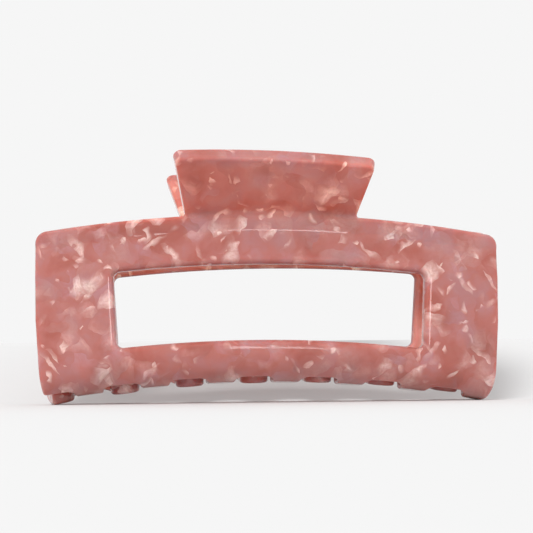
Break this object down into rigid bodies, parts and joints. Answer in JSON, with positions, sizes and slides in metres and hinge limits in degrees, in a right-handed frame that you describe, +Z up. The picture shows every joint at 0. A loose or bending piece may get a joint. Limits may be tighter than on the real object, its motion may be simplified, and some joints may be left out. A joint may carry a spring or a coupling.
{
  "type": "claw clip",
  "caption": "Rectangular hair claw clip: two arched acetate jaws with windows, comb teeth and flared thumb handles on a steel spring hinge, standing closed.",
  "frame": {"origin": "centre of the closed clip's footprint, on the surface that it stands on", "axes": "+X along the clip's length, -Y towards the front jaw, +Z up towards the handles"},
  "size_m": [0.11, 0.0436, 0.058],
  "materials": {
    "acetate": "polished marbled pearl",
    "stamped_steel": "nickel plated satin",
    "steel_fixings": "nickel plated",
    "spring_wire": "drawn wire"
  },
  "bodies": {
    "front_claw": {"front_jaw": "acetate", "front_hinge_plate": "stamped_steel", "front_plate_rivets": "steel_fixings", "hinge_pin": "steel_fixings", "pin_washer": "steel_fixings", "torsion_spring": "spring_wire"},
    "rear_claw": {"rear_jaw": "acetate", "rear_hinge_plate": "stamped_steel", "rear_plate_rivets": "steel_fixings"}
  },
  "joints": [
    {"name": "claw_hinge", "type": "hinge", "parent": "front_claw", "child": "rear_claw", "pos_m": [0, 0, 0.04134], "axis": [1, 0, 0], "range_deg": [0, 90], "stiffness_Nm_per_rad": 0.12, "springref_deg": -45.84, "deforming": ["torsion_spring"]}
  ]
}
